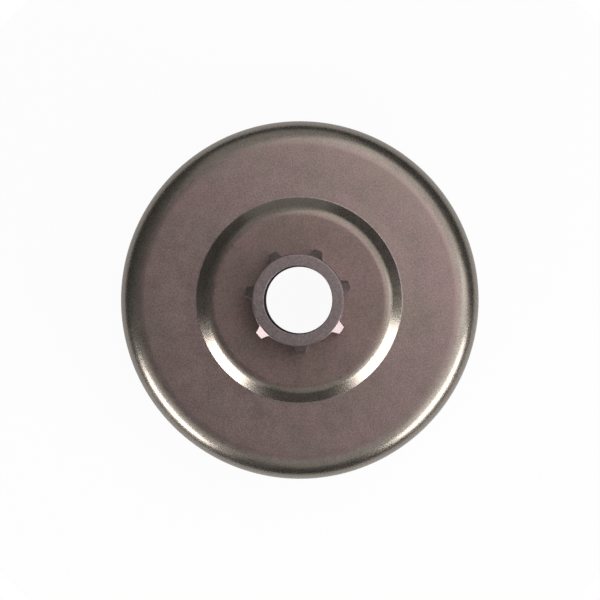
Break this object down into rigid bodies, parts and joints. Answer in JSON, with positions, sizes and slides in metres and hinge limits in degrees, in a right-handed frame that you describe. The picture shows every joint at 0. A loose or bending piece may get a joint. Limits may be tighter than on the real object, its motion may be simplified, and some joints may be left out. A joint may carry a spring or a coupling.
{
  "type": "chainsaw rim sprocket drum",
  "caption": "Pressed steel clutch drum with a stepped face and a splined hub, bored for a needle cage, that turns a loose chain rim.",
  "frame": {"origin": "centre of the open edge's plane, on the bore's axis, with the drum standing on its open edge", "axes": "+Z along the bore from the open edge to the hub's outer end; one tooth of the spline points along -Y"},
  "size_m": [0.076, 0.076, 0.0345],
  "materials": {
    "drum_steel": "matt brown oxide on pressed steel, polished on the bends",
    "hub_steel": "grey-brown oxide on turned steel, fine grain"
  },
  "bodies": {
    "root": {"drum_cup": "drum_steel", "splined_hub": "hub_steel"}
  },
  "joints": []
}
